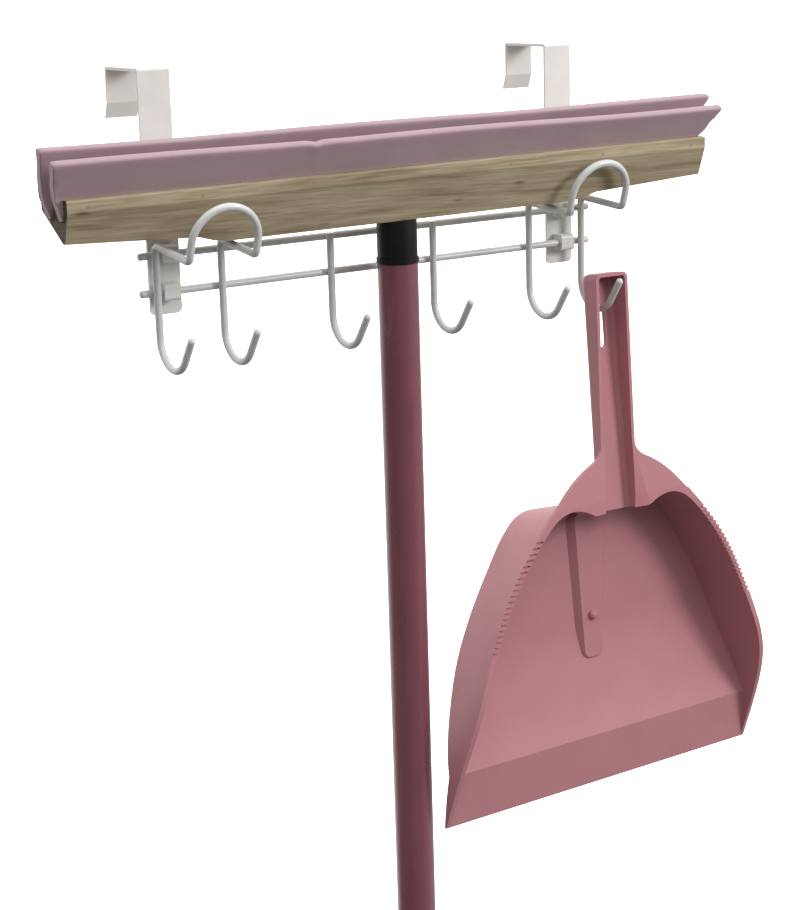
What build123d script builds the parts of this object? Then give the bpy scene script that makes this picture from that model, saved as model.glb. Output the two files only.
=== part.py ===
"""Over-door wire hook rack holding a two-blade floor squeegee and a dustpan.

Millimetres. +Z is up, +X runs along the rails, +Y points through the door.
The origin is the middle of the door's top edge, where the two brackets rest.
"""

import math
import os

from build123d import *

os.makedirs("parts", exist_ok=True)

# ---- door brackets -------------------------------------------------------
door_gap = 35.5          # clear space between strap and back lip
strap_thick = 1.5
strap_width = 18.0
bracket_x = 127.5        # centre of each bracket, either side of the middle
strap_drop = 124.0       # underside of the bridge down to the strap's end
lip_drop = 25.0
lip_flare = 3.0
saddle_size = 9.0        # raised block that holds a rail
saddle_depth = 8.6

# ---- rails and hooks -----------------------------------------------------
wire_r = 2.0
wire_gap = 0.05          # stands the hook wires off the rails
rail_length = 289.0
rail_y = -24.15
rail_upper_z = -92.1
rail_spacing = 19.3
hook_y = rail_y - 2 * wire_r - wire_gap
single_x = 33.0
double_inner_x = 99.0
double_outer_x = 136.5
hook_drop = 57.0         # upper rail down to the lowest point of a hook
hook_bend_r = 15.0
hook_bend_deg = 55.0     # how far the bend runs on past the lowest point
hook_tip = 14.0
arm_left = (5.5, 1.0)    # back and front heights of the arms above the upper rail
arm_right = (6.8, 3.8)
arm_reach = 38.0
bow_leg = 9.0
bow_lean_deg = 17.0
corner_r = 3.5

# ---- squeegee ------------------------------------------------------------
squeegee_x = -0.5
squeegee_y = rail_y - 22.1
squeegee_yaw = -2.6      # the head sits slightly askew on the bows
squeegee_roll = -0.60    # and its left end hangs a little lower
block_half = 193.5
block_top_z = rail_upper_z + 37.55
block_top_w = 35.0
block_low_w = 17.0
block_band = 6.2         # upright edge above the sloping sides
block_deep = 29.3        # depth of the middle part
block_step = 25.6        # depth just outside the step
block_thin = 21.7        # depth at the ends
step_in_x = 105.0
step_out_x = 122.0
end_cut_x = 130.0        # beyond this the underside slopes up to the back
end_cut_y = -8.0
end_cut_z = -21.5
blade_thick = 5.0
slot_deep = 11.0
slot_clear = 0.05
front_slot_y = -10.0
back_slot_y = 4.0
nail_r = 0.9
nail_pitch = 61.0

# ---- pole ----------------------------------------------------------------
pole_x = -2.0
sleeve_r = 11.0
pole_r = 10.7
tube_wall = 0.8
ferrule_r = 10.9
ferrule_ring_r = 11.5
ferrule_low_z = rail_upper_z - 15.3
stud_r = 8.5
stud_length = 16.0
stud_clear = 0.05
spigot_length = 32.0
pole_length = 1180.0
cap_r = 12.4

# ---- dustpan -------------------------------------------------------------
pan_yaw = 3.0
pan_roll = 1.0
pan_tilt = -4.0          # the tray's weight swings its lower end forward
shell = 2.0
handle_top = 20.5
handle_half = 12.0
handle_low_half = 13.6
handle_rim_y = -13.6
handle_back_y = 1.0
channel_foot_y = -4.0    # back of the channel where the web begins
channel_end_y = -6.0     # back of the channel at its lower end
web_top = -76.0
web_low = -122.0
web_thick = 2.2
slope_low = -110.0       # the web's front meets the rim's plane here
channel_low = -117.5
slot_top = 2.7
slot_bottom = -22.7
slot_half = 3.0
rim_y = -16.0
tray_back_y = 21.0
tray_low = -288.0
crease_z = -257.5
crease_rise = 12.5       # how far the crease stands forward of the floor
mouth_y = 13.2
mouth_half = 120.0
tooth_count = 20
tooth_first_z = -126.0
tooth_last_z = -184.0


def export(solid, name):
    solid.label = name
    export_step(solid, f"parts/{name}.step")


# ==== rails ===============================================================
def make_rail(height, name):
    with BuildPart() as rail:
        with BuildSketch(Plane.YZ.offset(-rail_length / 2)):
            with Locations((rail_y, height)):
                Circle(wire_r)
        extrude(amount=rail_length)
        fillet(rail.edges(), radius=wire_r * 0.6)
    export(rail.part, name)


make_rail(rail_upper_z, "rail_upper")
make_rail(rail_upper_z - rail_spacing, "rail_lower")


# ==== J-hook, as a wire path in the upright plane at x ====================
hook_low = rail_upper_z - hook_drop
bend_centre = (hook_y - hook_bend_r, hook_low + hook_bend_r)
bend_exit = math.radians(hook_bend_deg)
bend_end = (
    bend_centre[0] - hook_bend_r * math.sin(bend_exit),
    bend_centre[1] - hook_bend_r * math.cos(bend_exit),
)
tip_end = (
    bend_end[0] - hook_tip * math.cos(bend_exit),
    bend_end[1] + hook_tip * math.sin(bend_exit),
)


def hook_bend(x):
    """The round bend and the tip, as points for an arc and a line."""
    low = (x, bend_centre[0], hook_low)
    return (x, hook_y, bend_centre[1]), low, (x, *bend_end), (x, *tip_end)


def make_single_hook(x, name):
    top = (x, hook_y, rail_upper_z + wire_r)
    start, low, end, tip = hook_bend(x)
    with BuildPart() as hook:
        with BuildLine() as path:
            Line(top, start)
            ThreePointArc(start, (x, bend_centre[0] + hook_bend_r * math.cos(math.pi / 4),
                                  bend_centre[1] - hook_bend_r * math.sin(math.pi / 4)), low)
            middle = bend_exit / 2
            ThreePointArc(low, (x, bend_centre[0] - hook_bend_r * math.sin(middle),
                                bend_centre[1] - hook_bend_r * math.cos(middle)), end)
            Line(end, tip)
        with BuildSketch(Plane(origin=top, z_dir=(0, 0, -1))):
            Circle(wire_r)
        sweep(path=path.line)
        with Locations(tip):
            Sphere(wire_r)
    export(hook.part, name)


make_single_hook(-single_x, "single_hook_left")
make_single_hook(single_x, "single_hook_right")


# ==== double hook: two J-hooks joined by arms and an arched bow ============
def make_double_hook(sign, arm, name):
    inner = sign * double_inner_x
    outer = sign * double_outer_x
    arm_back = rail_upper_z + arm[0]
    arm_front = rail_upper_z + arm[1]
    front_y = hook_y - arm_reach
    half = (double_outer_x - double_inner_x) / 2
    lean = math.radians(bow_lean_deg)
    leg_y = front_y - bow_leg * math.sin(lean)
    leg_z = arm_front + bow_leg * math.cos(lean)
    top_y = leg_y - half * math.sin(lean)
    top_z = leg_z + half * math.cos(lean)
    middle = (inner + outer) / 2
    quarter = bend_exit / 2
    reach = hook_bend_r * math.sin(math.pi / 4)
    wires = []
    for x in (inner, outer):
        start, low, end, tip = hook_bend(x)
        with BuildPart() as side:
            with BuildLine() as path:
                Line(tip, end)
                ThreePointArc(end, (x, bend_centre[0] - hook_bend_r * math.sin(quarter),
                                    bend_centre[1] - hook_bend_r * math.cos(quarter)), low)
                ThreePointArc(low, (x, bend_centre[0] + reach, bend_centre[1] - reach), start)
                FilletPolyline(start, (x, hook_y, arm_back), (x, front_y, arm_front),
                               (x, leg_y, leg_z), radius=corner_r)
            with BuildSketch(Plane(origin=tip, z_dir=(0, math.cos(bend_exit), -math.sin(bend_exit)))):
                Circle(wire_r)
            sweep(path=path.line)
            with Locations(tip):
                Sphere(wire_r)
        wires.append(side.part)
    with BuildPart() as bow:
        with BuildLine() as arch:
            ThreePointArc((inner, leg_y, leg_z), (middle, top_y, top_z), (outer, leg_y, leg_z))
        with BuildSketch(Plane(origin=(inner, leg_y, leg_z), z_dir=(0, -math.sin(lean), math.cos(lean)))):
            Circle(wire_r)
        sweep(path=arch.line)
    export((wires[0] + wires[1] + bow.part).clean(), name)


make_double_hook(-1, arm_left, "double_hook_left")
make_double_hook(1, arm_right, "double_hook_right")


# ==== over-door bracket ===================================================
def make_bracket(x, name):
    inner = door_gap / 2
    outer = inner + strap_thick
    low = -lip_drop
    with BuildPart() as bracket:
        with BuildSketch(Plane.YZ.offset(x - strap_width / 2)):
            with BuildLine():
                Polyline(
                    (-outer, -strap_drop),
                    (-outer, strap_thick),
                    (outer, strap_thick),
                    (outer, low + 8),
                    (outer + lip_flare, low),
                    (inner + lip_flare, low),
                    (inner, low + 8),
                    (inner, 0),
                    (-inner, 0),
                    (-inner, -strap_drop),
                    close=True,
                )
            make_face()
        extrude(amount=strap_width)
        bends = bracket.edges().filter_by(Axis.X).sort_by(Axis.Z)[-2:]
        fillet(bends, radius=strap_thick * 0.9)
        ends = bracket.edges().filter_by(Axis.Y).sort_by(Axis.Z)[:2]
        fillet(ends, radius=3.0)
        with Locations(
            (x, -outer - saddle_depth / 2, rail_upper_z),
            (x, -outer - saddle_depth / 2, rail_upper_z - rail_spacing),
        ):
            Box(saddle_size, saddle_depth, saddle_size)
        corners = bracket.edges().filter_by(Axis.X).group_by(Axis.Y)[0]
        fillet(corners, radius=2.0)
        for level in (rail_upper_z, rail_upper_z - rail_spacing):
            with Locations(Location((x, rail_y, level), (0, 90, 0))):
                Cylinder(wire_r + 0.02, strap_width + 2, mode=Mode.SUBTRACT)
    export(bracket.part, name)


make_bracket(-bracket_x, "door_bracket_left")
make_bracket(bracket_x, "door_bracket_right")

# ==== squeegee head, built about its own middle and then set in place =====
head_at = Pos(squeegee_x, squeegee_y, block_top_z) * Rot(0, 0, squeegee_yaw) * Rot(0, squeegee_roll, 0)

with BuildPart() as block:
    with BuildSketch(Plane.YZ.offset(-block_half)):
        with BuildLine():
            Polyline(
                (-block_top_w / 2, 0),
                (block_top_w / 2, 0),
                (block_top_w / 2, -block_band),
                (block_low_w / 2, -block_deep),
                (-block_low_w / 2, -block_deep),
                (-block_top_w / 2, -block_band),
                close=True,
            )
        make_face()
    extrude(amount=2 * block_half)
    for side in (-1, 1):
        with BuildSketch(Plane.XZ.offset(-block_top_w)):
            with BuildLine():
                Polyline(
                    (side * step_in_x, -block_deep - 1),
                    (side * step_in_x, -block_deep),
                    (side * (step_in_x + 8), -block_deep + 1.0),
                    (side * step_out_x, -block_step),
                    (side * (block_half + 1), -block_thin),
                    (side * (block_half + 1), -block_deep - 1),
                    close=True,
                )
            make_face()
        extrude(amount=2 * block_top_w, mode=Mode.SUBTRACT)
        with BuildSketch(Plane.YZ.offset(side * end_cut_x)):
            with BuildLine():
                Polyline(
                    (block_top_w / 2 + 1, -block_band - 0.6),
                    (end_cut_y, end_cut_z),
                    (end_cut_y, -block_deep - 2),
                    (block_top_w / 2 + 1, -block_deep - 2),
                    close=True,
                )
            make_face()
        extrude(amount=side * (block_half - end_cut_x + 1), mode=Mode.SUBTRACT)
    long_edges = block.edges().filter_by(Axis.X)
    fillet(long_edges.group_by(Axis.Z)[-1], radius=1.2)
    for slot_y in (front_slot_y, back_slot_y):
        with BuildSketch(Plane.XY.offset(-slot_deep)):
            with Locations((0, slot_y)):
                Rectangle(2 * block_half + 2, blade_thick + 2 * slot_clear)
        extrude(amount=slot_deep + 1, mode=Mode.SUBTRACT)
    nail_spots = [(step * nail_pitch, 0) for step in range(-3, 4) if step != 0]
    with BuildSketch(Plane.XZ.offset(block_top_w / 2)):
        with Locations(*[(spot[0], -block_band + 2) for spot in nail_spots]):
            Circle(nail_r + 0.02)
    extrude(amount=-14.5, mode=Mode.SUBTRACT)
# ---- socket for the pole's threaded stud, upright under the block ----------
pole_at = Pos(pole_x, squeegee_y, 0)
block_base_z = block_top_z - block_deep - 0.22
with BuildPart() as socket:
    with BuildSketch(Plane.XY.offset(block_base_z - 3)):
        Circle(stud_r + stud_clear)
    extrude(amount=stud_length + 4)
export(head_at * block.part - pole_at * socket.part, "squeegee_block")


# ---- foam blades: upright in the slot, leaning forward above the wood -----
def make_blade(slot_y, lean_y, height, spreads, name):
    half = blade_thick / 2
    slant = math.atan2(lean_y, height)
    dy = blade_thick * math.cos(slant)
    dz = blade_thick * math.sin(slant)
    with BuildPart() as blade:
        with BuildSketch(Plane.YZ.offset(-block_half - spreads[0])):
            with BuildLine():
                Polyline(
                    (slot_y - half, -slot_deep + 0.1),
                    (slot_y - half, 0.6),
                    (slot_y - half - lean_y, height),
                    (slot_y - half - lean_y + dy, height + dz),
                    (slot_y + half, 0.6 + dz * 0.5),
                    (slot_y + half, -slot_deep + 0.1),
                    close=True,
                )
            make_face()
        extrude(amount=2 * block_half + spreads[0] + spreads[1])
        for side, spread in ((-1, spreads[0]), (1, spreads[1])):
            with BuildSketch(Plane.XZ.offset(-60)):
                with BuildLine():
                    Polyline(
                        (side * block_half, -slot_deep - 1),
                        (side * block_half, 1),
                        (side * (block_half + spread), height + 0.5),
                        (side * (block_half + spread), height + blade_thick + 3),
                        (side * (block_half + spread + 9), height + blade_thick + 3),
                        (side * (block_half + spread + 9), -slot_deep - 1),
                        close=True,
                    )
                make_face()
            extrude(amount=120, mode=Mode.SUBTRACT)
        crest = blade.edges().filter_by(Axis.X).sort_by(Axis.Z)[-2:]
        fillet(crest, radius=1.2)
        with BuildSketch(Plane.XZ.offset(block_top_w / 2)):
            with Locations(*[(spot[0], -block_band + 2) for spot in nail_spots]):
                Circle(nail_r + 0.02)
        extrude(amount=-14.5, mode=Mode.SUBTRACT)
    export(head_at * blade.part, name)


make_blade(front_slot_y, 8.5, 15.5, (6.5, 10.0), "blade_front")
make_blade(back_slot_y, 8.5, 20.5, (5.0, 12.0), "blade_back")

with BuildPart() as nails:
    with BuildSketch(Plane.XZ.offset(block_top_w / 2)):
        with Locations(*[(spot[0], -block_band + 2) for spot in nail_spots]):
            Circle(nail_r)
    extrude(amount=-14.0)
export(head_at * nails.part, "blade_nails")

# ==== ferrule, tube, coloured sleeve and end cap ===========================
pole_end_z = ferrule_low_z - pole_length

with BuildPart() as ferrule:
    with BuildSketch(Plane.XY.offset(ferrule_low_z)):
        Circle(ferrule_r)
    extrude(amount=block_base_z - 0.05 - ferrule_low_z)
    with BuildSketch(Plane.XY.offset(ferrule_low_z + 0.6)):
        Circle(ferrule_ring_r)
    extrude(amount=2.6)
    with BuildSketch(Plane.XY.offset(block_base_z - 1)):
        Circle(stud_r)
    extrude(amount=stud_length + 1)
    with BuildSketch(Plane.XY.offset(ferrule_low_z - spigot_length)):
        Circle(pole_r - tube_wall)
    extrude(amount=spigot_length + 1)
    rims = ferrule.edges().filter_by(GeomType.CIRCLE).sort_by(Axis.Z)
    chamfer([rims[0], rims[-1]], length=1.2)
export(pole_at * ferrule.part, "pole_ferrule")

with BuildPart() as tube:
    with BuildSketch(Plane.XY.offset(pole_end_z)):
        Circle(pole_r)
        Circle(pole_r - tube_wall, mode=Mode.SUBTRACT)
    extrude(amount=pole_length)
export(pole_at * tube.part, "pole_tube")

with BuildPart() as sleeve:
    with BuildSketch(Plane.XY.offset(pole_end_z)):
        Circle(sleeve_r)
        Circle(pole_r, mode=Mode.SUBTRACT)
    extrude(amount=pole_length)
export(pole_at * sleeve.part, "pole_sleeve")

with BuildPart() as cap:
    with BuildSketch(Plane.XY.offset(pole_end_z - 5)):
        Circle(cap_r)
    extrude(amount=27)
    with BuildSketch(Plane.XY.offset(pole_end_z)):
        Circle(sleeve_r)
        Circle(pole_r - tube_wall, mode=Mode.SUBTRACT)
    extrude(amount=27, mode=Mode.SUBTRACT)
    with BuildSketch(Plane.XY.offset(pole_end_z + 14)):
        Circle(pole_r - tube_wall)
    extrude(amount=20, mode=Mode.SUBTRACT)
    with BuildSketch(Plane.YZ.offset(-3.5)):
        with Locations((0, pole_end_z - 14)):
            SlotCenterToCenter(16, 20, rotation=90)
    extrude(amount=7)
    with BuildSketch(Plane.YZ.offset(-8)):
        with Locations((0, pole_end_z - 20)):
            Circle(5.0)
    extrude(amount=16, mode=Mode.SUBTRACT)
export(pole_at * cap.part, "pole_end_cap")


# ==== dustpan, built about its hanging point and then hung ================
pan_at = Pos(double_outer_x, bend_centre[0], hook_low) * Rot(0, 0, pan_yaw)
pan_at = pan_at * Rot(0, pan_roll, 0) * Rot(pan_tilt, 0, 0)
low_cut = tray_low - 1
side_start = (0.68, -0.73)
rim_side = [(62.5, -122.3), (77.3, -139.8), (94.1, -169.0), (115.0, -225.0), (mouth_half, low_cut)]


def rim_reach(level):
    """Half width of the rim's outline at a height."""
    for (wide, upper), (wider, lower) in zip(rim_side, rim_side[1:]):
        if level >= lower:
            return wide + (wider - wide) * (upper - level) / (upper - lower)
    return mouth_half


def tray_section(depth, ceiling, shoulder_points, shoulder_from, side_points):
    """Closed outline at one depth: ceiling, shoulder, side, and the open lower end."""
    with BuildSketch(Plane.XZ.offset(-depth)) as face:
        with BuildLine():
            Line((0, ceiling), shoulder_points[0])
            Spline(*shoulder_points, tangents=[shoulder_from, side_start])
            Spline(*side_points, tangents=[side_start, (0, -1)])
            Line(side_points[-1], (0, low_cut))
            Line((0, low_cut), (0, ceiling))
        make_face()
    return face.sketch


def behind_floor(back, step):
    """Space behind the floor, seen from the side: flat, rising to a crease, then the lip."""
    with BuildPart() as space:
        with BuildSketch(Plane.YZ.offset(-150)):
            with BuildLine():
                crease = (back - crease_rise, crease_z)
                rise = Spline((back, -188), (back - 3.0, -216), crease, tangents=[(0, -1), (-0.3, -1)])
                Polyline(
                    rise @ 1,
                    (mouth_y - step, low_cut - 1),
                    (back + 12, low_cut - 1),
                    (back + 12, -60),
                    (back, -60),
                    rise @ 0,
                )
            make_face()
        extrude(amount=300)
    return space.part


with BuildPart() as cavity:
    inner = tray_section(
        rim_y - 1, -117.8,
        [(19.0, -117.8), (25.0, -115.5), (31.0, -113.2), (38.0, -112.3), (45.0, -113.6), (59.3, -124.3)],
        (1, 0),
        [(59.3, -124.3), (74.0, -141.6), (90.7, -170.0), (111.7, -225.0), (mouth_half - 3.3, low_cut)],
    )
    deep = tray_section(
        tray_back_y, -119.5,
        [(19.0, -119.2), (38.0, -117.6), (47.0, -118.9), (53.5, -122.9), (58.3, -128.0)],
        (1, 0),
        [(58.3, -128.0), (68.0, -141.0), (86.5, -171.5), (107.5, -225.5), (mouth_half - shell, low_cut)],
    )
    add(inner)
    add(deep)
    loft(ruled=True)
    mirror(about=Plane.YZ)
    add(behind_floor(tray_back_y - shell, 1.6), mode=Mode.SUBTRACT)

with BuildPart() as hull:
    fore = tray_section(
        rim_y, -113.5,
        [(36.0, -110.8), (48.0, -112.4), (56.0, -117.4), rim_side[0]],
        (1, 0),
        rim_side,
    )
    rear = tray_section(
        tray_back_y, -117.4,
        [(36.0, -115.5), (46.0, -116.1), (55.0, -120.8), (60.3, -126.3)],
        (1, 0),
        [(60.3, -126.3), (70.0, -139.8), (88.5, -171.0), (109.5, -225.0), (mouth_half, low_cut)],
    )
    add(fore)
    add(rear)
    loft(ruled=True)
    mirror(about=Plane.YZ)
    add(behind_floor(tray_back_y, 0), mode=Mode.SUBTRACT)
    # front edges of the side walls run down to the sweeping edge
    with BuildSketch(Plane.YZ.offset(-150)):
        with BuildLine():
            falling = Spline(
                (rim_y, -204.0),
                (-7.0, -245.0),
                (mouth_y - 1.6, low_cut),
                tangents=[(0, -1), (0.42, -1)],
            )
            Line(falling @ 1, (rim_y - 5, low_cut))
            Line((rim_y - 5, low_cut), (rim_y - 5, -204.0))
            Line((rim_y - 5, -204.0), falling @ 0)
        make_face()
    extrude(amount=300, mode=Mode.SUBTRACT)


def side_profile(front_gap, back_top, back_foot, back_end):
    """Handle and web seen from the side: upright front that leans out to the rim, sloping back."""
    with BuildPart() as profile:
        with BuildSketch(Plane.YZ.offset(-80)):
            with BuildLine():
                Polyline(
                    (handle_rim_y + front_gap, handle_top + 1),
                    (handle_rim_y + front_gap, web_top),
                    (rim_y + front_gap, slope_low),
                    (rim_y + front_gap, web_low - 12),
                    (back_end, web_low - 12),
                    (back_end, web_low),
                    (back_foot, web_top),
                    (back_top, handle_top + 1),
                    close=True,
                )
            make_face()
        extrude(amount=160)
    return profile.part


def channel(inset, top, end):
    """Tapering bar that the handle is made from, wider at its foot."""
    with BuildPart() as bar:
        with BuildSketch(Plane.XZ.offset(-(handle_back_y - inset))):
            with BuildLine():
                Polyline(
                    (handle_half - inset - 0.8, top),
                    (handle_low_half - inset - 0.8, end),
                    (-handle_low_half + inset + 0.8, end),
                    (-handle_half + inset + 0.8, top),
                    close=True,
                )
            make_face()
        extrude(amount=30, taper=-3.0)
        corners = bar.edges().filter_by(lambda e: abs(e.center().Z - top) < 1 and abs(e.center().X) > 8)
        fillet(corners, radius=4.0 - inset)
        front = rim_y - 6 if inset else rim_y
        add(
            side_profile(front - rim_y, handle_back_y - inset, channel_foot_y - inset, channel_end_y - inset),
            mode=Mode.INTERSECT,
        )
        back_edges = bar.edges().filter_by(lambda e: e.length > 25 and e.center().Y > channel_end_y - 4)
        fillet(back_edges, radius=3.6 - inset * 0.6)
    return bar.part


# flat web between the handle's foot and the rim's round shoulders
with BuildPart() as web:
    with BuildSketch(Plane.XZ.offset(-rim_y + 4)):
        with BuildLine():
            Line((0, web_top), (handle_low_half - 1.2, web_top))
            Spline(
                (handle_low_half - 1.2, web_top),
                (13.6, -81.5),
                (16.8, -85.6),
                (21.5, -88.2),
                (27.0, -91.0),
                (35.0, -96.3),
                (44.0, -104.2),
                (53.0, -113.1),
                rim_side[0],
                tangents=[(0, -1), side_start],
            )
            Line(rim_side[0], (0, rim_side[0][1]))
            Line((0, rim_side[0][1]), (0, web_top))
        make_face()
    extrude(amount=-14)
    mirror(about=Plane.YZ)
    add(side_profile(0, handle_rim_y + web_thick, handle_rim_y + web_thick, rim_y + web_thick), mode=Mode.INTERSECT)

# thicker beside the channel's end, where the web bends back into it
with BuildPart() as backing:
    with BuildSketch(Plane.XZ.offset(-rim_y + 4)):
        with BuildLine():
            Polyline((-10, web_top), (-25, -117.0), (25, -117.0), (10, web_top), close=True)
        make_face()
    extrude(amount=-14)
    add(side_profile(0, handle_rim_y + 4.6, handle_rim_y + 4.6, rim_y + 5.4), mode=Mode.INTERSECT)

with BuildPart() as bend:
    # what the bends beside the channel's end cut from the web
    for level, reach, fall in ((-80.0, 11.2, 0.1), (slope_low, 19.4, 2.6), (-119.5, 22.0, 3.4)):
        lean = rim_y + (handle_rim_y - rim_y) * max(0.0, (level - slope_low) / (web_top - slope_low))
        with BuildSketch(Plane.XY.offset(level)):
            with BuildLine():
                Polyline((6, lean - 3), (reach, lean - 3), (reach, lean), (6, lean + fall), close=True)
            make_face()
    loft(ruled=True)
    mirror(about=Plane.YZ)

with BuildPart() as pan:
    add(hull.part)
    add(web.part)
    add(backing.part)
    add(channel(0, handle_top, channel_low))
    add(cavity.part, mode=Mode.SUBTRACT)
    add(channel(shell, handle_top - shell, web_low - 3), mode=Mode.SUBTRACT)
    add(bend.part, mode=Mode.SUBTRACT)
    # slot that the hook passes through, round where it hangs
    with BuildSketch(Plane.XZ.offset(-handle_back_y - 1)):
        with Locations((0, (slot_top + slot_bottom) / 2)):
            SlotOverall(slot_top - slot_bottom, 2 * slot_half, rotation=90)
    extrude(amount=shell + 4, mode=Mode.SUBTRACT)
    # raised rib down the middle of the floor, ending before the crease
    with BuildSketch(Plane.XZ.offset(-(tray_back_y - 0.5))) as rib_foot:
        with BuildLine():
            Polyline((17.4, -122.0), (10.5, -217.0), (-10.5, -217.0), (-17.4, -122.0), close=True)
        make_face()
        fillet(rib_foot.vertices().group_by(Axis.Z)[0], radius=7.5)
    with BuildSketch(Plane.XZ.offset(-(tray_back_y - shell - 3.6))) as rib_crest:
        with BuildLine():
            Polyline((11.0, -122.0), (6.5, -212.0), (-6.5, -212.0), (-11.0, -122.0), close=True)
        make_face()
        fillet(rib_crest.vertices().group_by(Axis.Z)[0], radius=5.0)
    loft(ruled=True)
    with Locations((0, tray_back_y - shell - 3.4, -186.0)):
        Sphere(3.2)
    # comb: small notches in both side rims, for cleaning a broom
    for tooth in range(tooth_count):
        level = tooth_first_z + (tooth_last_z - tooth_first_z) * tooth / (tooth_count - 1)
        reach = rim_reach(level)
        with Locations((reach, rim_y, level), (-reach, rim_y, level)):
            Box(9.0, 2.4, 1.3, mode=Mode.SUBTRACT)
export(pan_at * pan.part, "dustpan")
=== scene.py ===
"""Looks for the over-door hook rack with its floor squeegee and dustpan, in metres."""
import math

import bmesh
import bpy
from mathutils import Matrix, Vector


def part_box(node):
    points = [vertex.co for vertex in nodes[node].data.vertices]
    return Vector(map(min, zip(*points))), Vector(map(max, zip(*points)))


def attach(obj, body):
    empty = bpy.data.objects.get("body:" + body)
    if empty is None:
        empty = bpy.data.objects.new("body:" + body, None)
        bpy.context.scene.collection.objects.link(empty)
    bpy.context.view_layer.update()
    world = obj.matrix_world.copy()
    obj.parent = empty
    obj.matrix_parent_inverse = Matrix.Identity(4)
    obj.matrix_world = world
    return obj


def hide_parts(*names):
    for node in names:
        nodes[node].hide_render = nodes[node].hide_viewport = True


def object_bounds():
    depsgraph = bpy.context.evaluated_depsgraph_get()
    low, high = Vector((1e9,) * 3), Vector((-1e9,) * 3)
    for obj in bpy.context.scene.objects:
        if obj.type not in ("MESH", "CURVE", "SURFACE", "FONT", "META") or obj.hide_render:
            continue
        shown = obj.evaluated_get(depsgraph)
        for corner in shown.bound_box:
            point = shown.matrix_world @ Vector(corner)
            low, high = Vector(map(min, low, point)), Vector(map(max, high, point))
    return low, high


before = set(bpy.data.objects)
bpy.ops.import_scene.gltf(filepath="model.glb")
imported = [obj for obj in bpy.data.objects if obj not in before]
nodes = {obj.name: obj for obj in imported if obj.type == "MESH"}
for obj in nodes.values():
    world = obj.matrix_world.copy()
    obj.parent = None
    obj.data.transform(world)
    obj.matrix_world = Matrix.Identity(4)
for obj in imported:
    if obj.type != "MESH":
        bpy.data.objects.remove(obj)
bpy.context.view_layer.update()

MM = 0.001
HEAD_YAW = -2.6          # the squeegee head sits slightly askew on the bows, degrees
HEAD_ROLL = -0.60        # and its left end hangs a little lower
BLOCK_HALF = 193.5       # half the block's length, millimetres
SLOT_DEEP = 11.0
BLADE_HALF = 2.47        # half a blade's thickness, just under its slot's
TALLEST = 195.0          # how far left the crest is tallest
STATIONS = 150           # cross-sections along a blade
STAGE_RADIUS = 30.0      # metres


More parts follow.
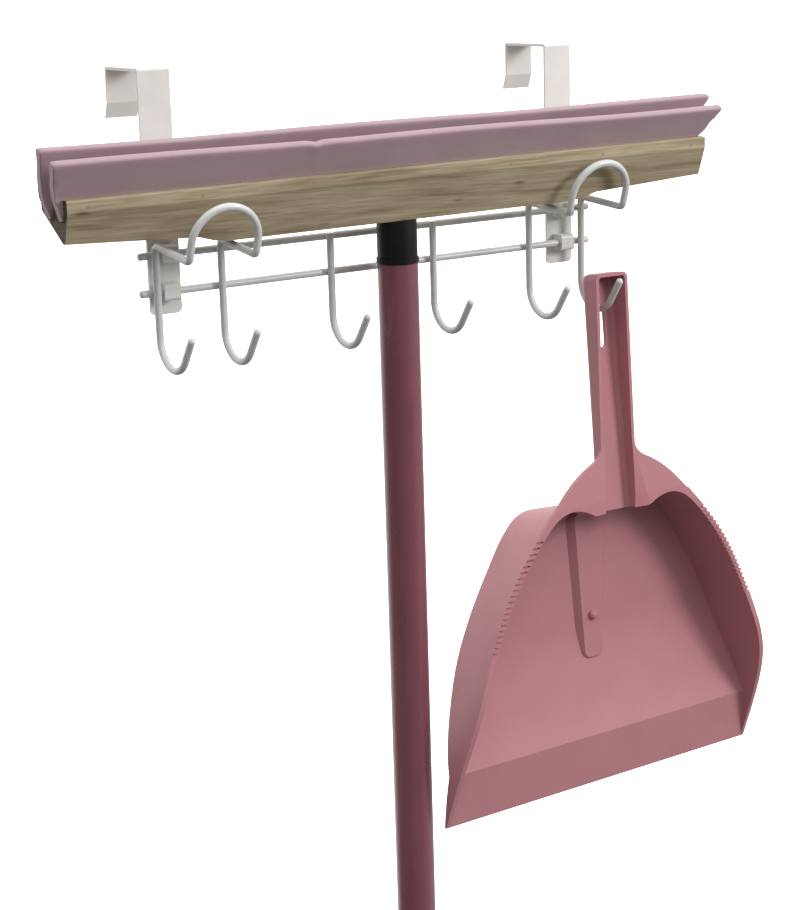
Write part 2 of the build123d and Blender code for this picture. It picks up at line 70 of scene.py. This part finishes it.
# ---- node helpers ---------------------------------------------------------
class Shader:
    """A node material under construction: one Principled shader and what feeds it."""

    def __init__(self, name):
        self.material = bpy.data.materials.new(name)
        self.material.use_nodes = True
        self.tree = self.material.node_tree
        self.bsdf = self.tree.nodes["Principled BSDF"]
        self.coords = self.add("ShaderNodeTexCoord").outputs["Object"]

    def add(self, kind, **settings):
        node = self.tree.nodes.new(kind)
        for key, value in settings.items():
            setattr(node, key, value)
        return node

    def link(self, out, socket):
        self.tree.links.new(out, socket)
        return socket

    def set(self, **values):
        names = {"coat": "Coat Weight", "coat_rough": "Coat Roughness", "rough": "Roughness",
                 "metal": "Metallic", "spec": "Specular IOR Level", "sheen": "Sheen Weight",
                 "sheen_rough": "Sheen Roughness"}
        for key, value in values.items():
            self.bsdf.inputs[names[key]].default_value = value
        return self

    def stretched(self, scale, turn=(0, 0, 0)):
        mapping = self.add("ShaderNodeMapping")
        mapping.inputs["Scale"].default_value = scale
        mapping.inputs["Rotation"].default_value = turn
        self.link(self.coords, mapping.inputs["Vector"])
        return mapping.outputs["Vector"]

    def noise(self, scale, detail=4.0, rough=0.55, vector=None, distortion=0.0):
        node = self.add("ShaderNodeTexNoise")
        node.inputs["Scale"].default_value = scale
        node.inputs["Detail"].default_value = detail
        node.inputs["Roughness"].default_value = rough
        node.inputs["Distortion"].default_value = distortion
        self.link(vector or self.coords, node.inputs["Vector"])
        return node.outputs["Fac"]

    def cells(self, scale, feature="F1", vector=None):
        node = self.add("ShaderNodeTexVoronoi", feature=feature)
        node.inputs["Scale"].default_value = scale
        self.link(vector or self.coords, node.inputs["Vector"])
        return node.outputs["Distance"]

    def ramp(self, value, *stops):
        """Colours or greys at positions along a value."""
        node = self.add("ShaderNodeValToRGB")
        bar = node.color_ramp.elements
        for i, (at, colour) in enumerate(stops):
            stop = bar[i] if i < 2 else bar.new(at)
            stop.position = at
            grey = not hasattr(colour, "__len__")
            stop.color = (colour, colour, colour, 1) if grey else (*colour, 1)
        self.link(value, node.inputs["Fac"])
        return node.outputs["Color"]

    def remap(self, value, low, high, to_low, to_high):
        node = self.add("ShaderNodeMapRange")
        for i, number in enumerate((low, high, to_low, to_high)):
            node.inputs[1 + i].default_value = number
        self.link(value, node.inputs["Value"])
        return node.outputs["Result"]

    def math(self, operation, a, b=None):
        node = self.add("ShaderNodeMath", operation=operation)
        for i, item in enumerate((a, b)):
            if item is None:
                continue
            if hasattr(item, "links"):
                self.link(item, node.inputs[i])
            else:
                node.inputs[i].default_value = item
        return node.outputs["Value"]

    def mix(self, share, a, b, blend="MIX"):
        node = self.add("ShaderNodeMix", data_type="RGBA", blend_type=blend)
        for socket, item in ((node.inputs[0], share), (node.inputs[6], a), (node.inputs[7], b)):
            if hasattr(item, "links"):
                self.link(item, socket)
            elif hasattr(item, "__len__"):
                socket.default_value = (*item, 1)
            else:
                socket.default_value = item
        return node.outputs[2]

    def colour(self, out):
        self.link(out, self.bsdf.inputs["Base Color"])

    def roughness(self, out):
        self.link(out, self.bsdf.inputs["Roughness"])

    def bumps(self, *layers):
        """Bump from (height, strength, distance in metres), one over the other."""
        normal = None
        for height, strength, distance in layers:
            node = self.add("ShaderNodeBump")
            node.inputs["Strength"].default_value = strength
            node.inputs["Distance"].default_value = distance
            self.link(height, node.inputs["Height"])
            if normal is not None:
                self.link(normal, node.inputs["Normal"])
            normal = node.outputs["Normal"]
        self.link(normal, self.bsdf.inputs["Normal"])


def coated_metal(name, light, dark, roughness):
    """Thick baked coating: faint mottling, orange peel and a soft shine."""
    s = Shader(name)
    cloud = s.noise(60, 3)
    s.colour(s.ramp(cloud, (0.3, dark), (0.7, light)))
    s.roughness(s.remap(s.noise(350, 2), 0.3, 0.7, roughness - 0.05, roughness + 0.08))
    s.bumps((s.noise(900, 2), 0.12, 0.0002), (s.noise(110, 2), 0.10, 0.0006))
    s.set(coat=0.25, coat_rough=0.18, spec=0.5)
    return s.material


coated_wire = coated_metal("coated_wire", (0.62, 0.62, 0.61), (0.57, 0.565, 0.555), 0.38)
bracket_white = coated_metal("bracket_white", (0.72, 0.705, 0.68), (0.67, 0.655, 0.62), 0.46)


def wood():
    s = Shader("block_wood")
    along = (0, math.radians(HEAD_ROLL), math.radians(-HEAD_YAW))
    grain = s.stretched((2.2, 34, 34), along)
    fibre = s.stretched((9, 420, 420), along)
    bands = s.noise(3.0, 5, 0.6, grain, 0.6)
    fibres = s.noise(2.0, 4, 0.6, fibre)
    tone = s.ramp(bands, (0.30, (0.235, 0.172, 0.100)), (0.5, (0.395, 0.320, 0.212)),
                  (0.72, (0.485, 0.410, 0.290)))
    streak = s.ramp(fibres, (0.35, (0.60, 0.55, 0.47)), (0.6, (1, 1, 1)))
    side_grain = s.mix(0.60, tone, streak, "MULTIPLY")
    knots = s.ramp(s.cells(1.0, "F1", s.stretched((17, 62, 62), along)),
                   (0.03, (0.34, 0.25, 0.15)), (0.10, (1, 1, 1)))
    side_grain = s.mix(0.8, side_grain, knots, "MULTIPLY")
    pores = s.ramp(s.noise(700, 3), (0.35, (0.040, 0.032, 0.020)), (0.65, (0.115, 0.092, 0.060)))
    normal = s.add("ShaderNodeSeparateXYZ")
    s.link(s.coords.node.outputs["Normal"], normal.inputs["Vector"])
    sawn_end = s.remap(s.math("ABSOLUTE", normal.outputs["X"]), 0.75, 0.95, 0.0, 1.0)
    s.colour(s.mix(sawn_end, side_grain, pores))
    s.roughness(s.remap(fibres, 0.3, 0.7, 0.62, 0.85))
    s.bumps((fibres, 0.35, 0.0004), (bands, 0.2, 0.0006))
    s.set(spec=0.3)
    return s.material


def foam():
    s = Shader("blade_foam")
    cloud = s.noise(28, 3)
    fine = s.cells(1500)
    base = s.ramp(cloud, (0.3, (0.355, 0.244, 0.270)), (0.7, (0.392, 0.274, 0.300)))
    s.colour(s.mix(0.12, base, s.ramp(fine, (0.0, 0.55), (0.6, 1.0)), "MULTIPLY"))
    s.roughness(s.remap(cloud, 0.3, 0.7, 0.7, 0.85))
    s.bumps((fine, 0.25, 0.0002), (s.noise(120, 3), 0.15, 0.0006))
    s.set(sheen=0.15, sheen_rough=0.5, spec=0.35)
    return s.material


def plastic(name, light, dark, roughness, peel=0.08, coat=0.0, scale=40, spec=0.5):
    s = Shader(name)
    cloud = s.noise(scale, 4)
    s.colour(s.ramp(cloud, (0.3, dark), (0.7, light)))
    s.roughness(s.remap(s.noise(scale * 6, 3), 0.3, 0.7, roughness - 0.04, roughness + 0.06))
    s.bumps((s.noise(1400, 2), peel, 0.0002), (s.noise(90, 2), 0.75 * peel, 0.0008))
    s.set(coat=coat, coat_rough=0.1, spec=spec)
    return s.material


def metal(name, dark, light, shine=1.0):
    s = Shader(name)
    streaks = s.noise(6, 4, 0.6, s.stretched((300, 300, 6)))
    s.colour(s.ramp(streaks, (0.3, dark), (0.7, light)))
    s.roughness(s.remap(streaks, 0.3, 0.7, 0.28, 0.45))
    s.bumps((streaks, 0.1, 0.0002))
    s.set(metal=shine)
    return s.material


materials = {
    "coated_wire": coated_wire,
    "bracket_white": bracket_white,
    "block_wood": wood(),
    "blade_foam": foam(),
    "nail_steel": metal("nail_steel", (0.235, 0.195, 0.135), (0.30, 0.25, 0.175), 0.0),
    "black_plastic": plastic(
        "black_plastic", (0.0055, 0.0055, 0.006), (0.0035, 0.0035, 0.004), 0.42, spec=0.22),
    "tube_steel": metal("tube_steel", 0.45, 0.62),
    "sleeve_plum": plastic(
        "sleeve_plum", (0.195, 0.060, 0.080), (0.175, 0.053, 0.072), 0.26, 0.012, 0.15, 20),
    "pan_pink": plastic(
        "pan_pink", (0.435, 0.188, 0.207), (0.412, 0.177, 0.195), 0.42, spec=0.3),
}

finish_of = {
    "rail_upper": "coated_wire", "rail_lower": "coated_wire",
    "double_hook_left": "coated_wire", "double_hook_right": "coated_wire",
    "single_hook_left": "coated_wire", "single_hook_right": "coated_wire",
    "door_bracket_left": "bracket_white", "door_bracket_right": "bracket_white",
    "squeegee_block": "block_wood", "blade_front": "blade_foam", "blade_back": "blade_foam",
    "blade_nails": "nail_steel", "pole_ferrule": "black_plastic", "pole_tube": "tube_steel",
    "pole_sleeve": "sleeve_plum", "pole_end_cap": "black_plastic", "dustpan": "pan_pink",
}
for name, finish in finish_of.items():
    piece = nodes[name]
    piece.data.materials.clear()
    piece.data.materials.append(materials[finish])

# ---- foam blades ----------------------------------------------------------
block_low, block_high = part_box("squeegee_block")
head_place = Matrix.Translation((
    (block_low.x + block_high.x) / 2,
    (block_low.y + block_high.y) / 2,
    block_high.z - BLOCK_HALF * MM * math.sin(math.radians(-HEAD_ROLL)),
)) @ Matrix.Rotation(math.radians(HEAD_YAW), 4, "Z") @ Matrix.Rotation(math.radians(HEAD_ROLL), 4, "Y")


def blade_outline(slot_y, lean, height):
    """Closed section of a blade: upright in its slot, bent forward above the wood, with a soft crest."""
    half = BLADE_HALF
    reach = math.hypot(lean, height)
    tip_y, tip_z = -lean / reach, height / reach
    spine = [(slot_y, -10.8, 0.0), (slot_y, -5.0, 0.0), (slot_y, -0.6, 0.0)]
    for i in range(1, 9):
        share = i / 8
        turn = min(1.0, share * 2.2)
        y = slot_y + tip_y * reach * share * (0.86 + 0.14 * share)
        spine.append((y, height * share, turn))
    front, rear = [], []
    for y, z, turn in spine:
        ny, nz = -(1 + (tip_z - 1) * turn), tip_y * turn
        size = math.hypot(ny, nz)
        front.append((y + ny / size * half, z + nz / size * half))
        rear.append((y - ny / size * half, z - nz / size * half))
    crest_y, crest_z, _ = spine[-1]
    cap = []
    for i in range(1, 12):
        a = math.pi * i / 12
        across = math.cos(a)
        wide = math.copysign(abs(across) ** 0.6, across) * half
        rise = math.sin(a) ** 0.6 * 1.9
        cap.append((crest_y - tip_z * wide + tip_y * rise, crest_z + tip_y * wide + tip_z * rise))
    return front + cap + rear[::-1]


def foam_blade(name, slot_y, lean, height, left, right, waves, nick, taller):
    """Blade lofted along the block.

    left and right: end positions at the slot, the wood and the crest.
    waves: (size, pace, start) of the crest's unevenness. nick: where, how deep and how wide.
    taller: how much the crest rises to the left, and from where.
    """
    outline = blade_outline(slot_y, lean, height)
    stations = [0.0, 0.0022, 0.006] + [i / STATIONS for i in range(2, STATIONS - 1)]
    stations += [0.994, 0.9978, 1.0]
    mesh = bmesh.new()
    rings = []
    for share in stations:
        close = min(share, 1 - share)
        inset = 0.6 * max(0.0, 1 - close / 0.004)
        middle_y = sum(p[0] for p in outline) / len(outline)
        middle_z = sum(p[1] for p in outline) / len(outline)
        ring = []
        for y, z in outline:
            y += math.copysign(min(inset, abs(middle_y - y)), middle_y - y)
            z += math.copysign(min(inset, abs(middle_z - z)), middle_z - z)
            up = max(0.0, z) / height
            ends = []
            for slot_x, wood_x, crest_x in (left, right):
                ends.append(wood_x + (crest_x - wood_x) * up ** 0.8 if z > 0
                            else wood_x + (slot_x - wood_x) * -z / SLOT_DEEP)
            x = ends[0] + (ends[1] - ends[0]) * share
            swell = sum(size * math.sin(x * pace + start) for size, pace, start in waves)
            dent = nick[1] * math.exp(-((x - nick[0]) / nick[2]) ** 2)
            growth = taller[0] * max(0.0, (taller[1] - x) / (taller[1] + TALLEST))
            lift = (swell - dent + growth) * min(1.0, up) ** 1.5
            ripple = 0.35 * math.sin(x * 0.021 + 1.3) * min(1.0, up)
            spot = Vector((x * MM, (y + ripple) * MM, (z + lift) * MM))
            ring.append(mesh.verts.new(head_place @ spot))
        rings.append(ring)
    count = len(outline)
    for a, b in zip(rings, rings[1:]):
        for i in range(count):
            j = (i + 1) % count
            mesh.faces.new((a[i], b[i], b[j], a[j])).smooth = True
    mesh.faces.new(rings[0])
    mesh.faces.new(rings[-1][::-1])
    bmesh.ops.recalc_face_normals(mesh, faces=mesh.faces)
    data = bpy.data.meshes.new(name)
    mesh.to_mesh(data)
    mesh.free()
    blade = bpy.data.objects.new(name, data)
    bpy.context.scene.collection.objects.link(blade)
    data.materials.append(materials["blade_foam"])
    return blade


front = foam_blade("foam_front", -10.0, 8.5, 15.5, (-194.3, -197.6, -200.3), (191.2, 192.0, 203.2),
                   ((0.55, 0.0125, 2.1), (0.30, 0.031, 0.4)), (-58.0, 1.0, 2.8), (1.7, -40.0))
rear = foam_blade("foam_back", 4.0, 8.5, 20.5, (-195.0, -198.6, -201.2), (192.4, 193.2, 205.2),
                  ((0.40, 0.011, 0.6), (0.25, 0.027, 2.2)), (300.0, 0.0, 4.0), (2.7, 60.0))
for blade, node in ((front, "blade_front"), (rear, "blade_back")):
    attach(blade, "squeegee_head")
    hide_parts(node)

for name, width in (("squeegee_block", 0.0018), ("dustpan", 0.0005)):
    soften = nodes[name].modifiers.new("soft_edges", "BEVEL")
    soften.width = width
    soften.segments = 3
    soften.limit_method = "ANGLE"
    soften.angle_limit = math.radians(35)

# ---- stage, light and camera ----------------------------------------------
low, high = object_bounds()


def stage_piece(name, mesh_maker, colour_stops, glow):
    """A pale surface that only the camera sees, so that it lights and shades nothing."""
    mesh_maker()
    piece = bpy.context.object
    piece.name = name
    paper = Shader(name + "_paper")
    paper.colour(paper.ramp(paper.noise(0.8, 3), *colour_stops))
    paper.bsdf.inputs["Emission Color"].default_value = (1, 1, 1, 1)
    paper.bsdf.inputs["Emission Strength"].default_value = glow
    paper.set(rough=0.9, spec=0.1)
    piece.data.materials.append(paper.material)
    piece.visible_diffuse = False
    piece.visible_glossy = False
    piece.visible_shadow = False
    return piece


floor_z = low.z - 0.002
stage_piece(
    "floor", lambda: bpy.ops.mesh.primitive_circle_add(
        vertices=96, radius=STAGE_RADIUS, fill_type="NGON", location=(0, 0, floor_z)),
    ((0.3, 0.80), (0.7, 0.84)), 0.85)
stage_piece(
    "backdrop", lambda: bpy.ops.mesh.primitive_uv_sphere_add(
        segments=48, ring_count=24, radius=STAGE_RADIUS, location=(0, 0, floor_z)),
    ((0.3, 0.80), (0.7, 0.84)), 0.95)

world = bpy.data.worlds.new("studio")
bpy.context.scene.world = world
world.use_nodes = True
tree = world.node_tree
background = tree.nodes["Background"]
background.inputs["Color"].default_value = (1, 1, 1, 1)
way = tree.nodes.new("ShaderNodeTexCoord")
split = tree.nodes.new("ShaderNodeSeparateXYZ")
tree.links.new(way.outputs["Generated"], split.inputs["Vector"])


def glow(axis, start, end, dark, bright):
    """Light that rises as the direction turns towards an axis."""
    fade = tree.nodes.new("ShaderNodeMapRange")
    fade.interpolation_type = "SMOOTHSTEP"
    tree.links.new(split.outputs[axis], fade.inputs["Value"])
    for i, number in enumerate((start, end, dark, bright)):
        fade.inputs[1 + i].default_value = number
    return fade.outputs["Result"]


def total(a, b):
    node = tree.nodes.new("ShaderNodeMath")
    node.operation = "ADD"
    tree.links.new(a, node.inputs[0])
    tree.links.new(b, node.inputs[1])
    return node.outputs["Value"]


behind = glow("Y", 0.55, 0.98, 0.21, 1.4)
above = glow("Z", 0.10, 0.90, 0.0, 1.7)
beside = glow("X", 0.2, 0.9, 0.0, 0.35)
tree.links.new(total(total(behind, above), beside), background.inputs["Strength"])


def soft_light(name, place, aim, size, power, tint=(1, 1, 1)):
    data = bpy.data.lights.new(name, "AREA")
    data.shape = "RECTANGLE"
    data.size, data.size_y = size
    data.energy = power
    data.color = tint
    lamp = bpy.data.objects.new(name, data)
    bpy.context.scene.collection.objects.link(lamp)
    lamp.location = place
    lamp.rotation_mode = "QUATERNION"
    lamp.rotation_quaternion = (Vector(aim) - Vector(place)).to_track_quat("-Z", "Y")
    return lamp


soft_light("key", (1.25, -1.55, 0.60), (0.05, -0.05, -0.25), (0.6, 0.6), 22.5)

camera_data = bpy.data.cameras.new("camera")
camera_data.lens = 79.47
camera_data.sensor_width = 36
camera_data.clip_start, camera_data.clip_end = 0.05, 500
camera = bpy.data.objects.new("camera", camera_data)
bpy.context.scene.collection.objects.link(camera)
turn, rise, roll = (math.radians(a) for a in (-32.566, 13.979, -1.709))
back = Vector((math.sin(turn) * math.cos(rise), -math.cos(turn) * math.cos(rise), math.sin(rise)))
right = Vector((math.cos(turn), math.sin(turn), 0))
up = back.cross(right)
across = right * math.cos(roll) + up * math.sin(roll)
upward = up * math.cos(roll) - right * math.sin(roll)
camera.matrix_world = Matrix.Translation((-0.58115, -0.94961, 0.05312)) @ Matrix(
    (across, upward, back)).transposed().to_4x4()
bpy.context.scene.camera = camera
bpy.context.scene.view_settings.view_transform = "Standard"
